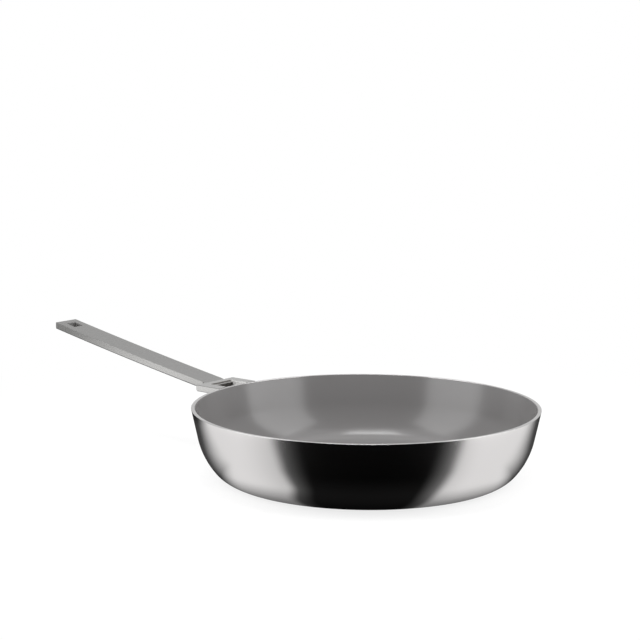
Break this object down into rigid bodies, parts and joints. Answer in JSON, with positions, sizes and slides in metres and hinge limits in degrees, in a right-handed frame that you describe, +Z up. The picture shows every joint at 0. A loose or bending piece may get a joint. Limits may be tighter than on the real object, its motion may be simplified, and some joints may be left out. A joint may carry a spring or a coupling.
{
  "type": "deep frying pan",
  "caption": "Deep round frying pan with a drafted wall, flat rim, grey lining and a flat bar handle held in a forked yoke, with a square hole to hang it by.",
  "frame": {"origin": "centre of the base, on the underside of the induction disc", "axes": "+Z up along the bowl's axis, +X from the axis out along the handle, +Y to the left of the handle"},
  "size_m": [0.4861, 0.28, 0.0918],
  "materials": {
    "bowl_aluminium": "turned and brushed round the bowl, satin rim",
    "grey_ceramic": "smooth semi-gloss sprayed lining",
    "magnetic_steel": "turned satin",
    "satin_steel": "fine satin, broken edges",
    "stud_aluminium": "as welded",
    "spring_steel": "plain",
    "bright_steel": "bright"
  },
  "bodies": {
    "root": {"pan_body": "bowl_aluminium", "nonstick_lining": "grey_ceramic", "induction_disc": "magnetic_steel", "handle_yoke": "satin_steel", "handle_bar": "satin_steel", "left_stud": "stud_aluminium", "right_stud": "stud_aluminium", "left_split_washer": "spring_steel", "right_split_washer": "spring_steel", "left_cap_nut": "bright_steel", "right_cap_nut": "bright_steel"}
  },
  "joints": []
}
